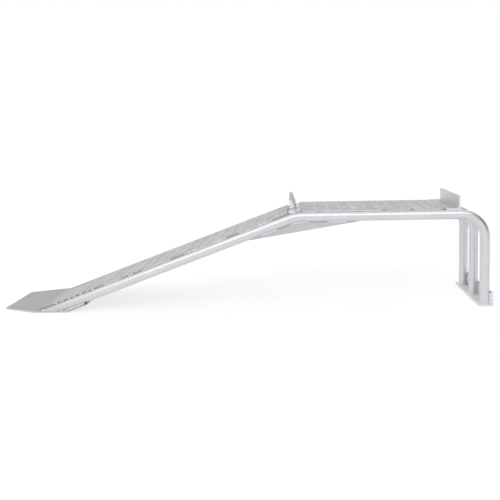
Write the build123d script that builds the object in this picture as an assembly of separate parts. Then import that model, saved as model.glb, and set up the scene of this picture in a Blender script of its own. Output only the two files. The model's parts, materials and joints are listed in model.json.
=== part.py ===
from build123d import *
import math
import os

# Loading ramp: three bent tubes carry a ribbed incline deck and a ribbed flat deck.
# Millimetres, +Z up, ground at Z = 0. +X runs from the approach lip to the legs, +Y across.
# The knee is where the incline centreline and the flat centreline meet. Every part is
# modelled with the knee at X = 0, and export() moves it to the middle of the whole length.

# Driving dimensions
tube_d = 50.8
tube_wall = 3.2
tube_spacing = 165.0
deck_width = 320.0
stop_width = 335.0
foot_width = 382.0
slope_deg = 20.25
axis_height = 499.0
leg_x = 1020.0
knee_radius = 203.0
leg_bend_radius = 127.0

deck_t = 8.0
incline_deck_start = 38.5
flat_deck_start = 23.0
flat_deck_end = 809.0

rib_pitch = 67.9
rib_width = 17.0
rib_rise = 2.6
rib_length = 296.0
incline_rib_count = 18
incline_first_rib = 100.6
flat_rib_count = 11
flat_first_rib = 107.5

lip_t = 8.0
lip_front_x = -1624.0
lip_front_width = 258.0
lip_bend_gap = 3.0
lip_upturn_length = 104.0

angle_leg = 76.2
angle_t = 9.5
angle_root_r = 3.0
angle_toe_r = 3.0
end_stop_back_x = 888.0
base_back_x = 1058.0

gusset_t = 6.35
gusset_reach_low = 290.0
gusset_reach_flat = 355.0
gusset_groove = 4.5
gusset_web = 1.8
gusset_weld_spans = ((-186.0, -99.0), (-26.0, 76.0), (168.0, 274.0))

stop_lean_deg = 20.0
stop_bar_t = 16.0
stop_bar_tip = 56.0
stop_hinge_x = -9.5
stop_clear = 0.4
rod_d = 12.7
rod_overhang = 5.0
running_clear = 0.05
barrel_d = 19.0
lug_t = 8.0
lug_hub_d = 18.5
rest_block_width = 28.0
rest_block_depth = 11.0
rest_block_rise = 18.0
circlip_t = 1.2
circlip_d = 17.0
circlip_groove_d = 11.5

# Values worked out from them
tube_r = tube_d / 2
slope = math.radians(slope_deg)
tube_rows = {"near": -tube_spacing, "middle": 0.0, "far": tube_spacing}
knee_x = -(lip_front_x + base_back_x) / 2
deck_top = axis_height + tube_r + deck_t
hinge_z = deck_top + stop_bar_t / 2 + stop_clear
knee = Location((0, 0, axis_height))
# Local X runs up the incline and local Z is square to it; the origin is the knee.
incline = knee * Location((0, 0, 0), (0, -slope_deg, 0))
# Local Z runs up the leaning stop bar and local X is square to it; the origin is its hinge.
hinge = Location((stop_hinge_x, 0, hinge_z), (0, -stop_lean_deg, 0))
long_enough = 4000.0


def incline_point(along, above):
    """World X, Z of a point that lies along the slope from the knee and above the centreline."""
    x = along * math.cos(slope) - above * math.sin(slope)
    z = axis_height + along * math.sin(slope) + above * math.cos(slope)
    return x, z


def incline_x_at(z, above):
    """World X where the line that is above the incline's centreline reaches height z."""
    return (z - axis_height - above / math.cos(slope)) / math.tan(slope)


def y_cylinder(radius, length, y=0.0):
    """Cylinder along Y, centred on the origin in X and Z."""
    return Pos(0, y, 0) * Rot(90, 0, 0) * Cylinder(radius, length)


def prism(points, width):
    """Outline in X, Z, extruded to the given width across Y."""
    outline = make_face(Plane.XZ * Polyline(*points, close=True))
    return extrude(outline, amount=width / 2, both=True)


def tube_path():
    """Centreline of one frame tube, from below the ground to the foot of the leg."""
    foot_x = incline_x_at(-tube_d, 0)
    knee_tangent = knee_radius * math.tan(slope / 2)
    knee_low = incline_point(-knee_tangent, 0)
    start = Vector(foot_x, 0, -tube_d)
    arc_start = Vector(knee_low[0], 0, knee_low[1])
    arc_end = Vector(knee_tangent, 0, axis_height)
    corner_start = Vector(leg_x - leg_bend_radius, 0, axis_height)
    corner_end = Vector(leg_x, 0, axis_height - leg_bend_radius)
    foot = Vector(leg_x, 0, angle_t)
    up_slope = Vector(math.cos(slope), 0, math.sin(slope))
    run = Line(start, arc_start)
    run += TangentArc(arc_start, arc_end, tangent=up_slope)
    run += Line(arc_end, corner_start)
    run += TangentArc(corner_start, corner_end, tangent=(1, 0, 0))
    run += Line(corner_end, foot)
    return run


def swept_round(radius):
    """Solid round bar along the tube centreline at Y = 0, cut flat on top of the lip plate."""
    path = tube_path()
    section = Plane(origin=path @ 0, z_dir=path % 0) * Circle(radius)
    bar = sweep(section, path=path)
    above_lip = Pos(0, 0, lip_t + long_enough / 2) * Box(long_enough, long_enough, long_enough)
    return bar & above_lip


def frame_tube():
    return swept_round(tube_r) - swept_round(tube_r - tube_wall)


def incline_deck():
    """Plate on the tube crests, from the knee gap down to the lip plate."""
    under, over = tube_r, tube_r + deck_t
    top_end = incline_point(-incline_deck_start, over)
    under_end = incline_point(-incline_deck_start, under)
    low_over = (incline_x_at(lip_t, over), lip_t)
    low_under = (incline_x_at(lip_t, under), lip_t)
    return prism((top_end, low_over, low_under, under_end), deck_width)


def flat_deck():
    length = flat_deck_end - flat_deck_start
    middle = (flat_deck_start + flat_deck_end) / 2
    return Pos(middle, 0, deck_top - deck_t / 2) * Box(length, deck_width, deck_t)


def tread_rib():
    """One low strip across the deck with rounded upper edges, standing on Z = 0."""
    rib = Pos(0, 0, rib_rise / 2) * Box(rib_width, rib_length, rib_rise)
    upper = rib.faces().sort_by(Axis.Z)[-1].edges()
    return fillet(upper, rib_rise * 0.8)


def incline_ribs():
    rib = tread_rib()
    places = [-(incline_first_rib + n * rib_pitch) for n in range(incline_rib_count)]
    return [incline * Pos(along, 0, tube_r + deck_t) * rib for along in places]


def flat_ribs():
    rib = tread_rib()
    places = [flat_first_rib + n * rib_pitch for n in range(flat_rib_count)]
    return [Pos(x, 0, deck_top) * rib for x in places]


def lip_plate():
    """Approach plate: it tapers to the leading edge, lies flat under the cut tube ends, and
    turns up under the tubes."""
    back_x = incline_x_at(lip_t, -(tube_r + lip_bend_gap))
    under_back_x = back_x + lip_t * math.tan(slope / 2)
    taper_x = incline_x_at(lip_t, tube_r + deck_t)
    half, front_half = foot_width / 2, lip_front_width / 2
    plan = Polyline(
        (lip_front_x, -front_half),
        (taper_x, -half),
        (back_x, -half),
        (back_x, half),
        (taper_x, half),
        (lip_front_x, front_half),
        close=True,
    )
    flat = extrude(make_face(plan), amount=lip_t)
    rise = lip_upturn_length * math.sin(slope)
    reach = lip_upturn_length * math.cos(slope)
    upturn = prism(
        (
            (back_x, lip_t),
            (back_x + reach, lip_t + rise),
            (under_back_x + reach, rise),
            (under_back_x, 0),
            (back_x, 0),
        ),
        foot_width,
    )
    return flat + upturn


def angle_bar(back_x, bottom_z, width):
    """Equal angle across the ramp: one leg flat at the bottom, one upright at back_x."""
    inner_x, inner_z = back_x - angle_t, bottom_z + angle_t
    front_x, top_z = back_x - angle_leg, bottom_z + angle_leg
    outline = Polyline(
        (back_x, bottom_z),
        (back_x, top_z),
        (inner_x, top_z),
        (inner_x, inner_z),
        (front_x, inner_z),
        (front_x, bottom_z),
        close=True,
    )
    section = make_face(outline)
    root = section.vertices().sort_by_distance((inner_x, inner_z, 0))[0]
    section = fillet(root, angle_root_r)
    toes = [section.vertices().sort_by_distance(p)[0] for p in ((inner_x, top_z, 0), (front_x, inner_z, 0))]
    section = fillet(toes, angle_toe_r)
    return extrude(Plane.XZ * section, amount=width / 2, both=True)


def bend_gusset():
    """Plate under one tube at the knee. Its upper edge follows the tube. Between the welds the
    weld preparation stays open: a groove along both faces that leaves a thin web."""
    left_tip = incline_point(-gusset_reach_low, -tube_r)
    left_axis = incline_point(-gusset_reach_low, 0)
    right_tip = (gusset_reach_flat, axis_height - tube_r)
    right_axis = (gusset_reach_flat, axis_height)
    plate = prism((left_tip, left_axis, (0, axis_height), right_axis, right_tip), gusset_t)
    groove = swept_round(tube_r + gusset_groove)
    groove -= Box(long_enough, gusset_web, long_enough)
    for start, end in gusset_weld_spans:
        groove -= Pos((start + end) / 2, 0, axis_height) * Box(end - start, tube_d, 8 * tube_d)
    return plate - swept_round(tube_r) - groove


def stop_lug():
    """Upright lug on a tube crest that carries the hinge rod of the wheel stop."""
    drop = hinge_z - axis_height
    hub = y_cylinder(lug_hub_d / 2, lug_t)
    foot = Pos(0, 0, -drop / 2) * Box(lug_hub_d, lug_t, drop)
    rod_hole = y_cylinder(rod_d / 2 + running_clear, 2 * lug_t)
    return Pos(stop_hinge_x, 0, hinge_z) * (hub + foot - rod_hole) - swept_round(tube_r)


def stop_rest_block():
    """Block on the middle tube that the raised wheel stop leans against."""
    face = stop_bar_t / 2 + 0.3
    depth = rest_block_depth
    drop = hinge_z - axis_height
    block = Pos(-face - depth / 2, 0, (rest_block_rise - drop) / 2) * Box(
        depth, rest_block_width, rest_block_rise + drop
    )
    block -= y_cylinder(lug_hub_d / 2 + 0.5, 2 * rest_block_width)
    return hinge * block - swept_round(tube_r) - stop_lug()


def hinge_rod():
    length = 2 * tube_spacing + lug_t + 2 * rod_overhang
    rod = y_cylinder(rod_d / 2, length)
    rod = chamfer(rod.edges().filter_by(GeomType.CIRCLE), 0.8)
    groove = y_cylinder(rod_d, circlip_t) - y_cylinder(circlip_groove_d / 2, circlip_t)
    for y in circlip_rows():
        rod -= Pos(0, y, 0) * groove
    return Pos(stop_hinge_x, 0, hinge_z) * rod


def circlip_rows():
    """Y of the two retaining rings, just outside the outer lugs."""
    outside = tube_spacing + lug_t / 2 + 0.3 + circlip_t / 2
    return (-outside, outside)


def rod_circlips():
    ring = y_cylinder(circlip_d / 2, circlip_t) - y_cylinder(circlip_groove_d / 2, 2 * circlip_t)
    mouth = Pos(0, 0, -circlip_d / 2) * Box(circlip_groove_d * 0.7, 2 * circlip_t, circlip_d)
    ring -= mouth
    return [Pos(stop_hinge_x, y, hinge_z) * ring for y in circlip_rows()]


def stop_bar():
    """Flat bar of the wheel stop, cut away round the lugs and seated on the barrels."""
    bar = Pos(0, 0, stop_bar_tip / 2) * Box(stop_bar_t, stop_width, stop_bar_tip)
    upper = bar.faces().sort_by(Axis.Z)[-1].edges().filter_by(Axis.Y)
    bar = fillet(upper, 1.0)
    bar -= y_cylinder(barrel_d / 2, 2 * stop_width)
    notch_rise = lug_hub_d / 2 + 1.5
    for y in tube_rows.values():
        bar -= Pos(0, y, notch_rise / 2) * Box(2 * stop_bar_t, lug_t + 2.0, notch_rise)
    return hinge * bar


def stop_barrel(side):
    """Hinge barrel of the wheel stop between the middle lug and one outer lug."""
    length = tube_spacing - lug_t - 2.0
    middle = side * tube_spacing / 2
    barrel = y_cylinder(barrel_d / 2, length, middle)
    barrel -= y_cylinder(rod_d / 2 + running_clear, 2 * length, middle)
    return Pos(stop_hinge_x, 0, hinge_z) * barrel


def export(name, shape):
    solids = shape if isinstance(shape, list) else [shape]
    placed = [Pos(knee_x, 0, 0) * solid for solid in solids]
    whole = placed[0] if len(placed) == 1 else Compound(children=placed)
    export_step(whole, os.path.join("parts", name + ".step"))


def main():
    os.makedirs("parts", exist_ok=True)
    tube = frame_tube()
    gusset = bend_gusset()
    lug = stop_lug()
    for row, y in tube_rows.items():
        export("frame_tube_" + row, Pos(0, y, 0) * tube)
        export("bend_gusset_" + row, Pos(0, y, 0) * gusset)
        export("stop_lug_" + row, Pos(0, y, 0) * lug)
    export("incline_deck", incline_deck())
    export("incline_tread_ribs", incline_ribs())
    export("flat_deck", flat_deck())
    export("flat_tread_ribs", flat_ribs())
    export("lip_plate", lip_plate())
    export("end_stop_angle", angle_bar(end_stop_back_x, axis_height + tube_r, stop_width))
    export("base_angle", angle_bar(base_back_x, 0, foot_width))
    export("stop_rest_block", stop_rest_block())
    export("stop_hinge_rod", hinge_rod())
    export("stop_rod_circlips", rod_circlips())
    export("wheel_stop_bar", stop_bar())
    export("wheel_stop_barrel_near", stop_barrel(-1))
    export("wheel_stop_barrel_far", stop_barrel(1))


main()
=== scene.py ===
import json
import math

import bmesh
import bpy
from mathutils import Matrix, Vector


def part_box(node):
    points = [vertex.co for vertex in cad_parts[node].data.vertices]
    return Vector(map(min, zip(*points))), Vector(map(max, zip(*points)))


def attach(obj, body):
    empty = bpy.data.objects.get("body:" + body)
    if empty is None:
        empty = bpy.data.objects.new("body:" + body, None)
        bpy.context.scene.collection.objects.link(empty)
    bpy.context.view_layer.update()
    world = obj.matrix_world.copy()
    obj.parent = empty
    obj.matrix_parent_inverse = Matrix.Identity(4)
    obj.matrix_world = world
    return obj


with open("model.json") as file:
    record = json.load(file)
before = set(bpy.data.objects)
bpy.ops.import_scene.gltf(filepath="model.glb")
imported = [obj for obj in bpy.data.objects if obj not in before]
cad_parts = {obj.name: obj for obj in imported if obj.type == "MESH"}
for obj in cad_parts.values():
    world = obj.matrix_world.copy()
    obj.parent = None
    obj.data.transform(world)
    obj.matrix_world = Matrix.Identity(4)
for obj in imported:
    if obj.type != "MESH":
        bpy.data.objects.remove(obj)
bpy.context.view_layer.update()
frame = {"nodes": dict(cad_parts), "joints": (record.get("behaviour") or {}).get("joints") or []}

# ---------------------------------------------------------------- sizes, in metres
# Read from the frame: the tube rows, the tube radius, the deck height and the plate edges.
rows = {row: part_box("frame_tube_" + row) for row in ("near", "middle", "far")}
row_y = {row: (low.y + high.y) / 2 for row, (low, high) in rows.items()}
tube_r = (rows["near"][1].y - rows["near"][0].y) / 2
axis_z = rows["near"][1].z - tube_r
leg_x = rows["near"][1].x - tube_r
flat_low, flat_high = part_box("flat_deck")
lip_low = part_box("lip_plate")[0]
base_low, base_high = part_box("base_angle")
stop_low, stop_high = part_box("end_stop_angle")
gusset_low, gusset_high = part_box("bend_gusset_near")
deck_half = flat_high.y
gusset_t = gusset_high.y - gusset_low.y
hinge = Vector(frame["joints"][0]["pos_m"])

# Shared with the CAD.
knee_past_hinge = 0.0095
knee_radius = 0.203
slope = math.radians(20.25)
angle_t = 0.0095
lip_t = 0.008

knee_x = hinge.x + knee_past_hinge
knee = Vector((knee_x, 0, axis_z))
up_slope = Vector((math.cos(slope), 0, math.sin(slope)))
off_slope = Vector((-math.sin(slope), 0, math.cos(slope)))


def on_incline(along, above, y):
    """Point along the slope from the knee (negative is downhill), above the centreline."""
    return knee + up_slope * along + off_slope * above + Vector((0, y, 0))


# ---------------------------------------------------------------- node helpers
even = (1, 1, 1)
# Faces this square to an axis get a tone of their own: painted light or painted shade.
painted_face_squareness = 0.92


class Nodes:
    """Short calls to build one material's node tree."""

    def __init__(self, name):
        self.material = bpy.data.materials.new(name)
        self.material.use_nodes = True
        self.tree = self.material.node_tree
        self.shader = self.tree.nodes["Principled BSDF"]

    def add(self, kind, **settings):
        node = self.tree.nodes.new(kind)
        for key, value in settings.items():
            setattr(node, key, value)
        return node

    def link(self, source, target):
        self.tree.links.new(source, target)

    def place(self, scale):
        """Object coordinates stretched by scale on each axis."""
        coords = self.add("ShaderNodeTexCoord")
        mapping = self.add("ShaderNodeMapping")
        mapping.inputs["Scale"].default_value = scale
        self.link(coords.outputs["Object"], mapping.inputs["Vector"])
        return mapping.outputs["Vector"]

    def noise(self, vector, scale, detail=4.0, roughness=0.55):
        node = self.add("ShaderNodeTexNoise")
        node.inputs["Scale"].default_value = scale
        node.inputs["Detail"].default_value = detail
        node.inputs["Roughness"].default_value = roughness
        self.link(vector, node.inputs["Vector"])
        return node.outputs["Fac"]

    def ramp(self, factor, low, high, low_at=0.3, high_at=0.7):
        node = self.add("ShaderNodeValToRGB")
        first, last = node.color_ramp.elements
        first.position, last.position = low_at, high_at
        first.color, last.color = grey(low), grey(high)
        self.link(factor, node.inputs["Fac"])
        return node.outputs["Color"]

    def multiply(self, first, second):
        node = self.add("ShaderNodeMix", data_type="RGBA", blend_type="MULTIPLY")
        node.inputs["Factor"].default_value = 1.0
        self.link(first, node.inputs["A"])
        self.link(second, node.inputs["B"])
        return node.outputs["Result"]

    def mix(self, factor, first, second):
        node = self.add("ShaderNodeMix", data_type="RGBA")
        self.link(factor, node.inputs["Factor"])
        self.link(first, node.inputs["A"])
        self.link(second, node.inputs["B"])
        return node.outputs["Result"]

    def facing(self, axis):
        """1 on faces that are nearly square to the axis, 0 elsewhere: the mask for painted light
        and painted shade on such faces.
        """
        coords = self.add("ShaderNodeTexCoord")
        axes = self.add("ShaderNodeSeparateXYZ")
        size = self.add("ShaderNodeMath", operation="ABSOLUTE")
        step = self.add("ShaderNodeMath", operation="GREATER_THAN")
        step.inputs[1].default_value = painted_face_squareness
        self.link(coords.outputs["Normal"], axes.inputs["Vector"])
        self.link(axes.outputs[axis], size.inputs[0])
        self.link(size.outputs["Value"], step.inputs[0])
        return step.outputs["Value"]

    def along_x(self, start, end, tone):
        """The tone up to start in X and 1 beyond end, with an even change between."""
        coords = self.add("ShaderNodeTexCoord")
        axes = self.add("ShaderNodeSeparateXYZ")
        spread = self.add("ShaderNodeMapRange")
        spread.inputs["From Min"].default_value = start
        spread.inputs["From Max"].default_value = end
        spread.inputs["To Min"].default_value = tone
        self.link(coords.outputs["Object"], axes.inputs["Vector"])
        self.link(axes.outputs["X"], spread.inputs["Value"])
        return spread.outputs["Result"]

    def bump(self, height, strength, distance, below=None):
        node = self.add("ShaderNodeBump")
        node.inputs["Strength"].default_value = strength
        node.inputs["Distance"].default_value = distance
        self.link(height, node.inputs["Height"])
        if below is not None:
            self.link(below, node.inputs["Normal"])
        return node.outputs["Normal"]


def grey(value):
    """A very slightly cool grey, as RGBA."""
    return (value, value, value * 1.01, 1.0)


# ---------------------------------------------------------------- materials
cloud_scale = 9.0
grain_scale = 60.0
scuff_scale = 95.0
mark_depth = 0.00004
# Metal is darker towards the ramp's foot: fully so up to the first X, at full tone from the
# second.
darkest_until_x = -1.12
full_tone_from_x = -0.82
# Factors on a tone or a roughness.
grain_tone = 0.93
# Mottle on the painted light and painted shade of faces square to an axis.
painted_face_mottle = 0.9
scuff_roughening = 1.25


def metal(name, tone, patch, roughness, grain, metallic=0.88, ends=None, fronts=None, foot=1):
    """Mill-finish metal: cloudy tone, fine drawn grain along one axis and faint scuffs. A face
    square to an axis has its own tone for how light falls on it, painted light where it is above
    tone and painted shade where below: ends where it faces along Y, fronts where it faces along
    X. Metal near the ramp's foot is darker by the factor foot."""
    n = Nodes(name)
    cloud = n.noise(n.place(even), cloud_scale)
    drawn = n.noise(n.place(grain), grain_scale, detail=3.0)
    scuff = n.noise(n.place(even), scuff_scale, detail=6.0, roughness=0.7)
    clouded = n.ramp(cloud, tone * (1 - patch), tone)
    colour = n.multiply(clouded, n.ramp(drawn, grain_tone, 1.0))
    colour = n.multiply(colour, n.ramp(scuff, 1 - patch, 1.0, low_at=0.42, high_at=0.58))
    # Darker towards the ramp's foot.
    if foot != 1:
        colour = n.multiply(colour, n.along_x(darkest_until_x, full_tone_from_x, foot))
    # Painted light and painted shade: faces square to Y take the tone ends and faces square to X
    # take the tone fronts, for how light falls on them.
    if ends is not None:
        colour = n.mix(n.facing("Y"), colour, n.ramp(scuff, ends * painted_face_mottle, ends))
    if fronts is not None:
        colour = n.mix(n.facing("X"), colour, n.ramp(scuff, fronts * painted_face_mottle, fronts))
    rough = n.ramp(scuff, roughness, roughness * scuff_roughening)
    grained = n.bump(drawn, strength=0.35, distance=mark_depth)
    scuffed = n.bump(scuff, strength=0.25, distance=mark_depth, below=grained)
    n.link(colour, n.shader.inputs["Base Color"])
    n.link(rough, n.shader.inputs["Roughness"])
    n.link(scuffed, n.shader.inputs["Normal"])
    n.shader.inputs["Metallic"].default_value = metallic
    return n.material


def weld_metal(name, low, high):
    """Bright, slightly frosted bead with a fine ripple."""
    n = Nodes(name)
    spots = n.noise(n.place(even), scale=160.0, detail=5.0, roughness=0.6)
    colour = n.ramp(spots, low, high, low_at=0.38, high_at=0.62)
    n.link(colour, n.shader.inputs["Base Color"])
    n.link(n.ramp(spots, 0.3, 0.5), n.shader.inputs["Roughness"])
    n.link(n.bump(spots, strength=0.5, distance=0.0004), n.shader.inputs["Normal"])
    n.shader.inputs["Metallic"].default_value = 0.85
    return n.material


def floor_paint():
    """Pale floor that glows a little, like a light table, so the shadows stay faint."""
    n = Nodes("floor_pale")
    clouds = n.noise(n.place(even), scale=3.0)
    n.link(n.ramp(clouds, 0.24, 0.26), n.shader.inputs["Base Color"])
    n.shader.inputs["Roughness"].default_value = 0.9
    n.shader.inputs["Emission Color"].default_value = grey(1.0)
    n.shader.inputs["Emission Strength"].default_value = 0.74
    return n.material


# Grain along the ramp or across it, coarser or finer.
along_ramp = (1, 12, 12)
along_deck = (1, 14, 14)
across_ramp = (12, 1, 12)
across_lip = (14, 1, 14)

# Ends and fronts tones above a metal's tone are painted light and those below are painted shade:
# the deck's side faces and the base angle's edges get painted shade, while the deck's X-facing
# ends, the lip, the end stop and the angles get painted light on these faces. The base angle's
# tone is raised, as painted light, where it sits in shade behind the legs.
tube_metal = metal("tube_satin", 0.7, 0.05, 0.34, along_ramp, foot=0.8)
plate_metal = metal("plate_mill", 0.6, 0.18, 0.46, along_deck, ends=0.42, fronts=0.9, foot=0.9)
# Ribs are a little lighter than the deck plate.
rib_metal = metal("rib_lighter", 0.64, 0.16, 0.4, across_ramp)
lip_metal = metal("lip_mill", 0.47, 0.07, 0.46, across_lip, ends=0.6)
gusset_metal = metal("gusset_mill", 0.6, 0.06, 0.42, along_ramp)
stop_metal = metal("stop_mill", 0.5, 0.08, 0.42, across_ramp, ends=0.74)
angle_metal = metal("angle_mill", 0.56, 0.07, 0.42, across_ramp, ends=0.8, fronts=0.66)
base_metal = metal("base_mill", 0.86, 0.1, 0.5, across_ramp, 0.25, ends=0.78, fronts=0.68)
rod_metal = metal("rod_zinc", 0.62, 0.05, 0.25, across_ramp, metallic=1.0)
# Two copies of one weld metal. The lighter copy is painted light, for beads out of the overhead
# light, such as those under the tubes. The darker copy is painted shade, for the top-lit deck
# edge beads.
painted_light_weld = weld_metal("weld_painted_light", 0.62, 0.94)
painted_shade_weld = weld_metal("weld_painted_shade", 0.42, 0.74)

# By the start of the node's name.
node_metals = {
    "frame_tube": tube_metal,
    "bend_gusset": gusset_metal,
    "stop_lug": stop_metal,
    "incline_deck": plate_metal,
    "flat_deck": plate_metal,
    "incline_tread_ribs": rib_metal,
    "flat_tread_ribs": rib_metal,
    "lip_plate": lip_metal,
    "end_stop_angle": angle_metal,
    "base_angle": base_metal,
    "stop_rest_block": gusset_metal,
    "stop_hinge_rod": rod_metal,
    "stop_rod_circlips": rod_metal,
    "wheel_stop": stop_metal,
}
for name, node in frame["nodes"].items():
    start = next(start for start in node_metals if name.startswith(start))
    node.data.materials.clear()
    node.data.materials.append(node_metals[start])


# ---------------------------------------------------------------- weld beads
bead_r = 0.0042
ripple_pitch = 0.0034
ripple_steps = 4
ring_sides = 12
arc_steps = 24
# Shares of the bead's radius.
ripple_depth = 0.1
thinnest_end = 0.05


def bead_mesh(name, paths, radius, material):
    """Weld beads along lists of points: a round bead with overlapping ripples and rounded
    ends, half sunk in the joint that it fills."""
    mesh = bmesh.new()
    for path in paths:
        add_bead(mesh, path, radius)
    data = bpy.data.meshes.new(name)
    mesh.to_mesh(data)
    mesh.free()
    for face in data.polygons:
        face.use_smooth = True
    piece = bpy.data.objects.new(name, data)
    bpy.context.scene.collection.objects.link(piece)
    piece.data.materials.append(material)
    return piece


def walk(path, step):
    """Points every step along a polyline."""
    out = []
    for start, end in zip(path, path[1:]):
        count = max(1, round((end - start).length / step))
        out += [start.lerp(end, i / count) for i in range(count)]
    return out + [path[-1]]


def add_bead(mesh, path, radius):
    """One bead: a ring of points at each step, thinner between ripples and at both ends."""
    step = ripple_pitch / ripple_steps
    points = walk(path, step)
    last = len(points) - 1
    rings = []
    for i, point in enumerate(points):
        ahead = points[min(i + 1, last)] - points[max(i - 1, 0)]
        along = ahead.normalized()
        side = along.cross(Vector((0, 0, 1)))
        if side.length < 0.1:
            side = along.cross(Vector((0, 1, 0)))
        side.normalize()
        other = along.cross(side)
        from_end = min(min(i, last - i) * step / radius, 1.0)
        taper = math.sqrt(1 - (1 - from_end) ** 2)
        ripple = 1 - ripple_depth + ripple_depth * abs(math.sin(math.pi * i / ripple_steps))
        size = radius * max(taper * ripple, thinnest_end)
        ring = []
        for k in range(ring_sides):
            turn = 2 * math.pi * k / ring_sides
            offset = side * math.cos(turn) + other * math.sin(turn)
            ring.append(mesh.verts.new(point + offset * size))
        rings.append(ring)
    for first, second in zip(rings, rings[1:]):
        for k in range(ring_sides):
            after = (k + 1) % ring_sides
            mesh.faces.new((first[k], first[after], second[after], second[k]))
    mesh.faces.new(list(reversed(rings[0])))
    mesh.faces.new(rings[-1])


def weld(name, paths, radius=bead_r, material=painted_light_weld):
    """One piece of weld beads, fixed to the ramp."""
    piece = bead_mesh(name, paths, radius, material)
    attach(piece, "ramp")


def arc(centre, radius_x, radius_y, middle, reach=52):
    """Flat arc of points round a leg or a cut tube end, reach degrees each way from middle."""
    points = []
    for i in range(arc_steps + 1):
        turn = math.radians(middle + reach * (2 * i / arc_steps - 1))
        points.append(centre + Vector((math.cos(turn) * radius_x, math.sin(turn) * radius_y, 0)))
    return points


def under_tube(along, sink):
    """Point on the underside line of a tube at Y = 0, sunk into it, by distance in X from
    the knee, round the knee's arc."""
    reach = knee_radius * math.tan(slope / 2)
    centre = Vector((knee_x + reach, 0, axis_z - knee_radius))
    inner = knee_radius - tube_r + sink
    if along >= reach:
        return Vector((knee_x + along, 0, axis_z - tube_r + sink))
    angle = math.asin(max(-1.0, (along - reach) / inner))
    if angle >= -slope:
        return centre + Vector((math.sin(angle), 0, math.cos(angle))) * inner
    above = -tube_r + sink
    downhill = (along + above * math.sin(slope)) / math.cos(slope)
    return knee + up_slope * downhill + off_slope * above


# Stitches on both sides of a gusset, start and end by distance in X from the knee.
gusset_spans = ((-0.186, -0.099), (-0.026, 0.076), (0.168, 0.274))
gusset_steps = 12
gusset_bead_sink = 0.0005
gusset_bead_out = gusset_t / 2 + bead_r * 0.35
gusset_bead_down = bead_r * 0.45


def gusset_welds(row, y):
    paths = []
    for start, end in gusset_spans:
        step = (end - start) / gusset_steps
        line = [under_tube(start + step * i, gusset_bead_sink) for i in range(gusset_steps + 1)]
        for side in (-1, 1):
            shift = Vector((0, y + side * gusset_bead_out, -gusset_bead_down))
            paths.append([point + shift for point in line])
    weld("gusset_welds_" + row, paths)


# Arcs on the leg's front and back, just clear of the tube and of the angle.
foot_clear = 0.001


def leg_foot_welds(row, y):
    foot = Vector((leg_x, y, base_low.z + angle_t + foot_clear))
    radius = tube_r + foot_clear
    weld("leg_foot_welds_" + row, [arc(foot, radius, radius, middle) for middle in (0, 180)])


# Up both sides of the leg where it stands against the upright flange.
back_r = 0.0072
back_aside = 0.0185
back_before_flange = 0.004
back_heights = (0.012, 0.074)


def leg_back_welds(row, y):
    seam_x = base_high.x - angle_t - back_before_flange
    lines = []
    for side in (-1, 1):
        seam_y = y + side * back_aside
        lines.append([Vector((seam_x, seam_y, base_low.z + height)) for height in back_heights])
    weld("leg_back_welds_" + row, lines, back_r)


# Deck edges to the outer tubes, start and end by distance from the knee: short tacks near the
# foot, then long beads with short gaps.
edge_r = 0.0048
edge_out = edge_r * 0.3
edge_above = edge_r * 0.6
tack_length = 0.016
tack_starts = (-1.41, -1.37, -1.33, -1.3, -1.26, -1.22, -1.19)
tacks = [(start, start + tack_length) for start in tack_starts]
beads = [(-1.12, -1.01), (-0.97, -0.94), (-0.89, -0.72), (-0.64, -0.39), (-0.32, -0.12)]
flat_beads = [(0.034, 0.47), (0.485, 0.62), (0.64, 0.79)]


def deck_welds(row, side):
    y = side * (deck_half + edge_out)
    lines = []
    for span in tacks + beads:
        lines.append([on_incline(along, tube_r + edge_above, y) for along in span])
    weld("incline_deck_welds_" + row, lines, edge_r, painted_shade_weld)
    lines = []
    for span in flat_beads:
        lines.append([Vector((knee_x + along, y, flat_low.z + edge_above)) for along in span])
    weld("flat_deck_welds_" + row, lines, edge_r, painted_shade_weld)


# Behind the end stop, a stitch at each tube whose ends bend down round it.
stitch_half = 0.016
stitch_drop = 0.004
stitch_behind = 0.001
stitch_above = 0.0005


def end_stop_welds():
    stitches = []
    for y in row_y.values():
        crest = Vector((stop_high.x + stitch_behind, y, stop_low.z + stitch_above))
        near_end = crest + Vector((0, -stitch_half, -stitch_drop))
        far_end = crest + Vector((0, stitch_half, -stitch_drop))
        stitches.append([near_end, crest, far_end])
    weld("end_stop_welds", stitches)


# Round the cut tube ends on the lip plate.
cut_r = 0.0035
cut_reach = 58
cut_above = 0.0005


def tube_foot_welds(row, y):
    lip_top = lip_low.z + lip_t
    cut_x = knee_x + (lip_top - axis_z) / math.tan(slope)
    centre = Vector((cut_x, y, lip_top + cut_above))
    cut_half = tube_r / math.sin(slope)
    arcs = [arc(centre, cut_half, tube_r, middle, cut_reach) for middle in (0, 180)]
    weld("tube_foot_welds_" + row, arcs, cut_r)


# Tube undersides to the turned-up end of the lip plate, one line each side of a tube.
upturn_r = 0.0055
upturn_aside = 0.0165
upturn_sink = 0.0016
upturn_span = (-1.362, -1.243)


def tube_upturn_welds(row, y):
    lines = []
    for side in (-1, 1):
        aside = y + side * upturn_aside
        lines.append([on_incline(along, upturn_sink - tube_r, aside) for along in upturn_span])
    weld("tube_upturn_welds_" + row, lines, upturn_r)


for row, y in row_y.items():
    gusset_welds(row, y)
    leg_foot_welds(row, y)
    leg_back_welds(row, y)
deck_welds("near", -1)
deck_welds("far", 1)
end_stop_welds()
for row, y in row_y.items():
    tube_foot_welds(row, y)
for row, y in row_y.items():
    tube_upturn_welds(row, y)

# ---------------------------------------------------------------- floor, light and camera
half_floor = 30.0
floor_z = -0.0005


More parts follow.
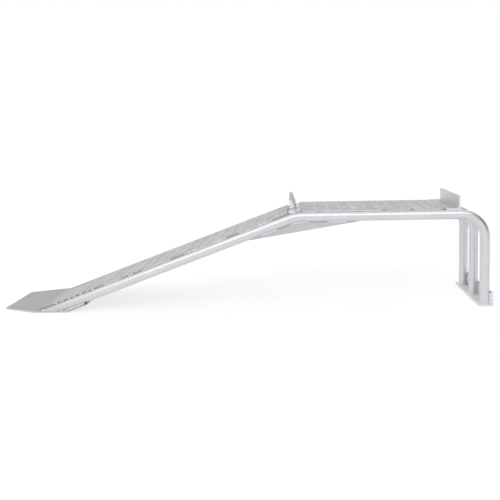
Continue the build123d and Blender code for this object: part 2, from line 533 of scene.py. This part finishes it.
def floor_plane():
    corners = [(-1, -1), (1, -1), (1, 1), (-1, 1)]
    data = bpy.data.meshes.new("floor")
    points = [(x * half_floor, y * half_floor, floor_z) for x, y in corners]
    data.from_pydata(points, [], [(0, 1, 2, 3)])
    plane = bpy.data.objects.new("floor", data)
    bpy.context.scene.collection.objects.link(plane)
    plane.data.materials.append(floor_paint())
    return plane


def area_light(name, place, target, size, power):
    data = bpy.data.lights.new(name, "AREA")
    data.shape = "RECTANGLE"
    data.size, data.size_y = size
    data.energy = power
    light = bpy.data.objects.new(name, data)
    light.location = place
    light.rotation_euler = (Vector(target) - Vector(place)).to_track_quat("-Z", "Y").to_euler()
    bpy.context.scene.collection.objects.link(light)


def white_room(dim_from=0.5, dim_at=0.9, dim=0.1):
    """White world whose far right end is dim in reflections, which gives the round legs their
    shape. The backdrop itself stays white from every side."""
    world = bpy.data.worlds.new("studio")
    world.use_nodes = True
    nodes, links = world.node_tree.nodes, world.node_tree.links
    direction = nodes.new("ShaderNodeTexCoord")
    axes = nodes.new("ShaderNodeSeparateXYZ")
    room = nodes.new("ShaderNodeValToRGB")
    for element, position, tone in zip(room.color_ramp.elements, (dim_from, dim_at), (1.0, dim)):
        element.position = position
        element.color = (tone, tone, tone, 1)
    rays = nodes.new("ShaderNodeLightPath")
    shown = nodes.new("ShaderNodeMix")
    shown.data_type = "RGBA"
    shown.inputs["B"].default_value = (1, 1, 1, 1)
    links.new(direction.outputs["Generated"], axes.inputs["Vector"])
    links.new(axes.outputs["X"], room.inputs["Fac"])
    links.new(room.outputs["Color"], shown.inputs["A"])
    links.new(rays.outputs["Is Camera Ray"], shown.inputs["Factor"])
    links.new(shown.outputs["Result"], nodes["Background"].inputs["Color"])
    nodes["Background"].inputs["Strength"].default_value = 1.0
    return world


def camera_opposite_knee(offset, yaw, pitch, roll):
    """Camera in front of the knee, about 0.9 m above the floor. Angles are in degrees."""
    data = bpy.data.cameras.new("camera")
    data.sensor_width = 36.0
    data.lens = 34.2
    data.shift_x = -0.0842
    data.shift_y = -0.1779
    turn = (
        Matrix.Rotation(-math.radians(yaw), 4, "Z")
        @ Matrix.Rotation(math.pi / 2 - math.radians(pitch), 4, "X")
        @ Matrix.Rotation(math.radians(roll), 4, "Z")
    )
    camera = bpy.data.objects.new("camera", data)
    camera.matrix_world = Matrix.Translation(knee + Vector(offset)) @ turn
    bpy.context.scene.collection.objects.link(camera)
    return camera


floor = floor_plane()
under_deck = (0, 0, 0.3)
area_light("overhead", place=(-0.2, -1.9, 2.9), target=under_deck, size=(7.6, 1.5), power=46)
area_light("front_left", place=(-3.2, -3.4, 1.4), target=under_deck, size=(3.0, 2.0), power=2.5)
bpy.context.scene.world = white_room()
bpy.context.scene.view_settings.view_transform = "Standard"
bpy.context.scene.camera = camera_opposite_knee(
    offset=(0.0111, -2.7056, 0.4709), yaw=-0.559, pitch=3.763, roll=-1.03
)
